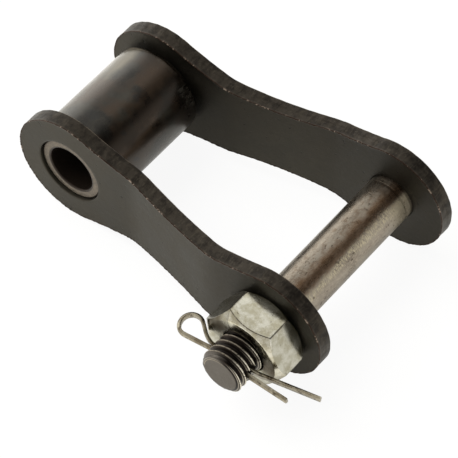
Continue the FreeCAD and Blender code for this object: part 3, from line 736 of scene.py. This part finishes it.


# Dark heat-treated faces with pits, streaked sheared sides, a burr and a worn edge, with painted shade and
# highlights
def plateLook(name, seed):
    look = Look(name)
    here = look.here
    wall, burr, paleHighlight, along, depth = (look.attribute(k) for k in ("wall", "burr", "paleHighlight", "along", "depth"))
    clouds = grain(here, 0.16, 4, 0.6, seed=3.1 + seed)
    fine = grain(here, 2.6, 3, 0.6, seed=7.7)
    pits = smooth(grain(here, 1.25, 2, 0.4, seed=1.9), 0.31, 0.23)
    face = blendColour(smooth(clouds, 0.3, 0.7), screen(53, 50, 43), screen(66, 62, 54))
    face = blendColour(smooth(fine, 0.55, 0.75) * 0.3, face, screen(80, 75, 67))
    face = blendColour(pits * 0.6, face, screen(22, 20, 19))
    # Painted shade: the faces darker towards the wide end
    face = blendColour(smooth(here.parts()[0], 24, 34) * 0.3, face, screen(40, 38, 35))
    place = look.start.node("CombineXYZ", {}, {0: along, 1: depth, 2: 0.5})
    streak = grain(place, 1.0, 3, 0.65, (3.2, 1.1, 1), 5.0)
    blotch = grain(place, 1.0, 3, 0.55, (0.75, 0.6, 1), 9.0)
    sheared = blendColour(smooth(blotch, 0.36, 0.62), screen(38, 34, 30), screen(56, 51, 45))
    sheared = blendColour(smooth(streak, 0.5, 0.68) * 0.3, sheared, screen(84, 78, 68))
    look.colour = blendColour(wall, face, sheared)
    # The worn edge, pale with a painted highlight along it
    look.paint(paleHighlight * smooth(blotch, 0.35, 0.55) * 0.6, screen(104, 92, 78))
    broken = smooth(grain(place, 1.0, 3, 0.7, (1.6, 1, 1), 2.0), 0.58, 0.64)
    look.paint(burr * 0.75, screen(56, 38, 28))
    # Painted highlight in pale flecks along the burr
    look.paint(burr * broken, screen(158, 142, 128))
    rough = smooth(clouds, 0.3, 0.7, 0.44, 0.54) + (fine - 0.5) * 0.16 - wall * 0.04
    height = fine * 0.5 + grain(here, 0.9, 2, 0.5, seed=4.0) + (streak + blotch) * wall * 0.8 - pits * 1.2
    return look.finish(Metallic=0.9, Roughness=rough, Normal=look.bump(height, 0.035, 0.55))


# Oiled and heat-blued, with brown clouds. Degrees round the axis, from +X by +Z, place the bands of painted
# shade (one also with less coat), the painted highlight on the upper left, and the bright patch by the far
# end.
def rollerLook():
    look = Look("rollerLook")
    here = look.here
    clouds = grain(here, 0.2, 4, 0.62, seed=2.0)
    warm = grain(here, 0.13, 3, 0.55, seed=12.0)
    cold = smooth(grain(here, 0.3, 2, 0.4, seed=21.0), 0.60, 0.68)
    fine = grain(here, 2.0, 3, 0.6, (1, 0.35, 1), 5.0)
    look.colour = blendColour(smooth(clouds, 0.36, 0.62), screen(30, 27, 22), screen(65, 61, 53))
    look.paint(smooth(warm, 0.44, 0.56) * 0.85, screen(66, 49, 33))
    look.paint(cold * 0.6, screen(34, 37, 39))
    look.paint(smooth(fine, 0.58, 0.78) * 0.25, screen(84, 78, 70))
    east, out, up = here.parts()
    around = east.maths("ARCTAN2", up, east) * (180 / math.pi) + (clouds - 0.5) * 20
    # Painted shade in a band, where the coat is also thinner
    dullAndShaded = window(around, (28, 42), (66, 54))
    look.paint(dullAndShaded * 0.7, screen(28, 24, 20))
    shaded = window(around, (74, 92), (126, 108)) + window(around, (-16, 4), (34, 22))
    look.paint(shaded * 0.55, screen(26, 23, 20))
    # Painted highlight on the upper left side, lighter towards the far end
    paleHighlight = smooth(around, 106, 120) * smooth(out + (clouds - 0.5) * 14, -3.0, 6.0)
    look.paint(paleHighlight * 0.5, screen(120, 112, 94))
    # Painted highlights on the edges at both ends
    edge = smooth(out + (warm - 0.5) * 1.5, 7.9, 8.7) + smooth(out - (warm - 0.5) * 1.5, -9.0, -9.6)
    look.paint(edge * smooth(clouds, 0.44, 0.6) * 0.4, screen(132, 124, 112))
    patch = window(around, (8, 18), (46, 34)) * smooth(out, 6.4, 7.6)
    look.paint(patch * smooth(fine, 0.35, 0.6) * 0.7, screen(150, 146, 138))
    rough = smooth(clouds, 0.36, 0.62, 0.24, 0.42) + (fine - 0.5) * 0.18
    return look.finish(Metallic=1.0, Roughness=rough, Coat_Weight=0.8 - dullAndShaded * 0.45,
                       Coat_Roughness=0.22, Normal=look.bump(fine + clouds, 0.025, 0.5))


# Turned end, with painted shade in the bore and round the outer edge where it meets the plate's hole
def bushLook():
    look = Look("bushLook")
    fine = grain(look.here, 3.0, 3, 0.6, seed=1.0)
    radial = look.radial(0.0)
    inBore = smooth(radial, 4.46, 4.34)
    outside = smooth(radial, 5.36, 5.46)
    look.colour = blendColour(smooth(fine, 0.35, 0.65), screen(92, 85, 76), screen(120, 110, 98))
    # Painted shade round the outer edge and in the bore
    look.paint(outside * 0.8, screen(48, 42, 36))
    look.paint(inBore, screen(46, 38, 32))
    rough = smooth(fine, 0.3, 0.7, 0.42, 0.56) - inBore * 0.1
    return look.finish(Metallic=0.75, Roughness=rough, Normal=look.bump(fine, 0.02, 0.4))


# Ground shank with tool ticks and painted dark and bright reflections; thread and turned end face with
# painted light and shade
def pinLook():
    look = Look("pinLook")
    here = look.here
    east, out, up = here.parts()
    radial = look.radial(pitch)
    around = (east - pitch).maths("ARCTAN2", up, east - pitch) * (180 / math.pi)
    thread = smooth(out, -16.5, -16.9)
    # Place on the unrolled shank: length round it, 0.069 mm to the degree, and length along it
    unrolled = look.start.node("CombineXYZ", {}, {0: around * 0.069, 1: out, 2: radial})
    ticks = grain(unrolled, 1.0, 2, 0.6, (1.3, 7.0, 1), 4.0)
    fine = grain(here, 4.0, 3, 0.7, (1, 0.5, 1), 4.0)
    cloud = grain(here, 0.5, 3, 0.55, (1, 0.35, 1), 8.0)
    speckled = smooth(grain(here, 0.3, 1, seed=17.0), 0.44, 0.56)
    specks = smooth(grain(here, 2.2, 3, 0.6, (1, 0.8, 1), 6.0), 0.40, 0.33) * speckled
    look.colour = blendColour(smooth(cloud, 0.3, 0.7), screen(121, 112, 101), screen(149, 141, 130))
    look.paint(smooth(fine, 0.46, 0.7) * 0.5, screen(176, 165, 150))
    ragged = (ticks - 0.5) * 16 + (cloud - 0.5) * 40
    # Painted dark reflection in brown, in a band placed by the angle round the shank
    brownDarkReflection = window(around + ragged, (46, 60), (96, 66))
    farEnd = smooth(out + ragged * 0.12, 8.0, 12.5) * smooth(around, 140, 90) * smooth(around, 20, 50)
    # Painted dark reflection, mottled brown, at nearby angles
    mottle = smooth(grain(here, 1.3, 4, 0.7, (1, 0.6, 1), 23.0), 0.48, 0.6)
    mottle = mottle * smooth(around, 52, 70) * smooth(around, 134, 104)
    look.paint(brownDarkReflection * 0.6, screen(110, 76, 44))
    look.paint(mottle * 0.4, screen(92, 68, 46))
    look.paint(farEnd * 0.2, screen(96, 72, 48))
    # Painted highlight: a bright yellowish band beside the dark one, broken by the ticks
    band = window(around + ragged, (30, 40), (56, 47))
    look.paint(band * smooth(ticks, 0.45, 0.6) * 0.5, screen(216, 204, 170))
    # Painted highlight near the far end, also made less metallic there so the lamp lights it
    nearFar = smooth(out, 8.0, 11.0) * smooth(around, -40, 0) * smooth(around, 58, 44)
    look.paint(nearFar * 0.5, screen(192, 180, 154))
    look.paint(specks * 0.75, screen(56, 42, 30))
    # Painted shade in the groove
    look.paint(window(out, (12.05, 12.3), (12.85, 12.6)) * 0.2, screen(66, 52, 38))
    # Painted light on the thread: lit is the upper side, nearEnd the upper side by the stud's end
    lit = smooth(around, 80, 45)
    nearEnd = smooth(out, -26.5, -27.0) * smooth(around, 70, 120)
    # Painted shadow where the pin meets the far plate
    look.paint(smooth(out, 13.2, 13.6) * 0.7, screen(40, 32, 24))
    # Painted shade: the flanks darker towards the roots, lighter on the upper side by the end
    flank = blendColour(smooth(radial, 3.1, 3.6), screen(26, 22, 20), screen(56, 49, 44))
    flank = blendColour(nearEnd, flank, screen(94, 89, 84))
    # A painted highlight: a thin bright line along each flank on the lit side, and low in the grooves near
    # the end
    second = (window(radial, (3.26, 3.32), (3.46, 3.40)) * lit
              + window(radial, (3.0, 3.04), (3.16, 3.1)) * nearEnd)
    flank = blendColour(second * 0.75, flank, screen(160, 153, 140))
    # Crests lighter than the flanks, with painted highlight on the lit side
    crest = blendColour(lit, screen(134, 126, 114), screen(228, 222, 206))
    metal = blendColour(smooth(radial, 3.56, 3.64) * smooth(fine, 0.32, 0.5), flank, crest)
    endFace = smooth(out, -27.76, -27.79)
    # Painted highlight on the upper part of the end face's rim
    rimHighlight = window(radial, (2.72, 2.79), (2.9, 2.85)) * smooth(around, 50, 110)
    face = blendColour(rimHighlight, screen(88, 82, 75), screen(150, 141, 126))
    metal = blendColour(endFace, metal, face)
    look.paint(thread, metal)
    rough = smooth(cloud, 0.3, 0.7, 0.26, 0.36) + (fine - 0.5) * 0.2 + (ticks - 0.5) * 0.1 + thread * 0.04
    return look.finish(Metallic=0.95 - nearFar * 0.4, Roughness=rough,
                       Normal=look.bump(fine + ticks * 0.8 - specks * 0.9, 0.025, 0.6))


# Yellowish zinc with stained chamfer lines and warmer cones; painted shade by side, oil and painted shadow on
# the face
def nutLook():
    look = Look("nutZinc")
    here = look.here
    line, gleam, cone, ringFace, oilAndShadow, tone = (
        look.attribute(k) for k in ("line", "gleam", "cone", "ringFace", "oilAndShadow", "tone"))
    cloud = grain(here, 0.7, 4, 0.65, seed=3.0)
    fine = grain(here, 3.4, 3, 0.65, seed=9.0)
    specks = smooth(grain(here, 1.4, 3, 0.5, seed=15.0), 0.33, 0.27)
    look.colour = blendColour(smooth(cloud, 0.36, 0.66), screen(198, 193, 171), screen(240, 238, 225))
    look.paint(specks * 0.7, screen(96, 84, 62))
    look.paint(cone * 0.22, screen(146, 126, 90))
    # Painted shade by side
    look.paint(1.0 - tone, screen(60, 58, 52))
    # Painted shade on the front face round the bore
    look.paint(ringFace * 0.45, screen(84, 82, 68))
    smear = smooth(grain(here, 0.8, 3, 0.6, seed=41.0), 0.35, 0.6)
    # Oil and painted shadow of the stud and legs on the face
    look.paint(oilAndShadow * (smear * 0.12 + 0.88), screen(70, 60, 42))
    look.paint(line * smooth(fine, 0.25, 0.5) * 0.9, screen(52, 38, 20))
    # Painted highlight on the chamfer line of one side
    look.paint(gleam, (1.0, 0.97, 0.9))
    rough = smooth(cloud, 0.3, 0.7, 0.16, 0.24) + (fine - 0.5) * 0.12 + oilAndShadow * 0.2
    return look.finish(Metallic=1.0, Roughness=rough, Normal=look.bump(fine, 0.02, 0.35))


# Dull zinc with dark blotches
def wireLook():
    look = Look("wireZinc")
    here = look.here
    cloud = grain(here, 0.55, 3, 0.55, seed=3.0)
    fine = grain(here, 3.4, 3, 0.65, seed=9.0)
    dark = smooth(grain(here, 0.9, 3, 0.6, seed=31.0), 0.54, 0.62)
    look.colour = blendColour(smooth(cloud, 0.3, 0.7), screen(120, 110, 92), screen(168, 161, 144))
    look.paint(dark * 0.7, screen(58, 44, 28))
    rough = smooth(cloud, 0.3, 0.7, 0.24, 0.34) + (fine - 0.5) * 0.14
    return look.finish(Metallic=0.95, Roughness=rough, Normal=look.bump(fine, 0.025, 0.45))


for thing, look in (
        (nearPlate, plateLook("nearPlateSteel", 0.0)), (farPlate, plateLook("farPlateSteel", 6.0)),
        (rollerPiece, rollerLook()), (bushPiece, bushLook()), (pinPiece, pinLook()),
        (nutPiece, nutLook()), (splitPiece, wireLook())):
    thing.data.materials.clear()
    thing.data.materials.append(look)
print("scene: materials made")

# Floor: white to the camera, with the object's own shadow kept
studio = {
    "floorSize": 3.0, "floorTone": (0.86, 0.85, 0.81), "warm": (1, 0.985, 0.93), "brightest": 3.0,
    "cameraWhite": 0.92, "mirrorWhite": 0.4, "middle": (0.02, 0, 0),
    "lampPower": 9.0, "lampSize": 0.7, "lampAt": (-0.45, -0.12, 0.62),
}
floorAt = (studio["middle"][0], studio["middle"][1], frameLow.z)
bpy.ops.mesh.primitive_plane_add(size=studio["floorSize"], location=floorAt)
floor = bpy.context.object
floor.name = "studioFloor"
floorMaterial = bpy.data.materials.new("studioFloor")
floorMaterial.use_nodes = True
tree = floorMaterial.node_tree
tree.nodes.clear()
start = Wire(tree)
isCamera = start.node("LightPath", output="Is Camera Ray")
diffuse = start.node("BsdfDiffuse", {}, {"Color": (*studio["floorTone"], 1)})
white = start.node("Emission", {}, {"Color": (1, 1, 1, 1), "Strength": 1.0})
warm = start.node("Emission", {}, {"Color": (*studio["warm"], 1), "Strength": 1.0})
glow = start.node("MixShader", {}, {0: isCamera, 1: warm, 2: white})
isMirrored = start.node("LightPath", output="Is Glossy Ray")
share = isCamera * studio["cameraWhite"] + isMirrored * studio["mirrorWhite"]
both = start.node("MixShader", {}, {0: share, 1: diffuse, 2: glow})
both.toOutput("Material")
floor.data.materials.append(floorMaterial)

# World: brightness by height above the horizon, brighter low down behind and to the left:
# level = ambient + overhead * its part + low * (low's own level + left back part - front part)
sky = {"ambient": 0.13, "overhead": 0.74, "low": 0.85, "leftBack": 1.0, "front": 0.25,
       "overheadX": (0.34, -0.08), "overheadZ": (0.42, 0.66), "lowZ": (0.68, 0.40),
       "leftBackWay": (0.15, 0.65), "frontY": (0.1, -0.3)}
world = bpy.data.worlds.new("studioWorld")
bpy.context.scene.world = world
world.use_nodes = True
tree = world.node_tree
tree.nodes.clear()
start = Wire(tree)
isCamera = start.node("LightPath", output="Is Camera Ray")
wayX, wayY, wayZ = start.node("TexCoord", output="Generated").parts()
overhead = smooth(wayX, *sky["overheadX"]) * smooth(wayZ, *sky["overheadZ"])
low = smooth(wayZ, *sky["lowZ"])
leftBack = smooth(wayY * 0.55 - wayX * 0.83, *sky["leftBackWay"])
front = smooth(wayY, *sky["frontY"])
lowLevel = sky["low"] + leftBack * sky["leftBack"] - front * sky["front"]
level = sky["ambient"] + overhead * sky["overhead"] + low * lowLevel
dark, bright, white = (
    start.node("Background", {}, {"Color": (*tone, 1), "Strength": strength})
    for tone, strength in ((studio["warm"], 0.0), (studio["warm"], studio["brightest"]), ((1, 1, 1), 1.0)))
shine = start.node("MixShader", {}, {0: level / studio["brightest"], 1: dark, 2: bright})
shine = start.node("MixShader", {}, {0: isCamera, 1: shine, 2: white})
shine.toOutput("World")

lampData = bpy.data.lights.new("overheadLamp", "AREA")
lampData.energy = studio["lampPower"]
lampData.shape = "SQUARE"
lampData.size = studio["lampSize"]
lamp = bpy.data.objects.new("overheadLamp", lampData)
bpy.context.scene.collection.objects.link(lamp)
lamp.location = studio["lampAt"]
fromMiddle = Vector(studio["lampAt"]) - Vector(studio["middle"])
lamp.rotation_euler = fromMiddle.to_track_quat("Z", "Y").to_euler()
lamp.visible_glossy = False  # metal mirrors the world's soft light, not the lamp's square

# Camera: the photograph's viewing angle. The rotation vector is an axis times an angle a. With the axis as
# cross-product matrix K the turn is R = 1 + sin a K + (1 - cos a) K K, and the camera stands at -R^T shift.
photo = {"rotation": (2.3729, 0.8235, -0.2848), "shift": (-16.5512, -16.6668, 453.5525), "focal": 2937.004,
         "pixels": 458, "sensor": 36.0, "nearest": 0.02, "farthest": 20.0}
angle = np.linalg.norm(photo["rotation"])
axis = np.array(photo["rotation"]) / angle
cross = np.array([[0, -axis[2], axis[1]], [axis[2], 0, -axis[0]], [-axis[1], axis[0], 0]])
turnBy = np.eye(3) + math.sin(angle) * cross + (1 - math.cos(angle)) * cross @ cross
place = -turnBy.T @ np.array(photo["shift"]) * mm
camData = bpy.data.cameras.new("photoCamera")
camData.sensor_width = photo["sensor"]
camData.lens = photo["focal"] / photo["pixels"] * photo["sensor"]
camData.clip_start = photo["nearest"]
camData.clip_end = photo["farthest"]
camera = bpy.data.objects.new("photoCamera", camData)
bpy.context.scene.collection.objects.link(camera)
pose = np.eye(4)
pose[:3, 0], pose[:3, 1], pose[:3, 2], pose[:3, 3] = turnBy[0], -turnBy[1], -turnBy[2], place
camera.matrix_world = Matrix(pose.tolist())
bpy.context.scene.camera = camera

bpy.context.scene.view_settings.view_transform = "Standard"
print("scene: stage, light and camera made")
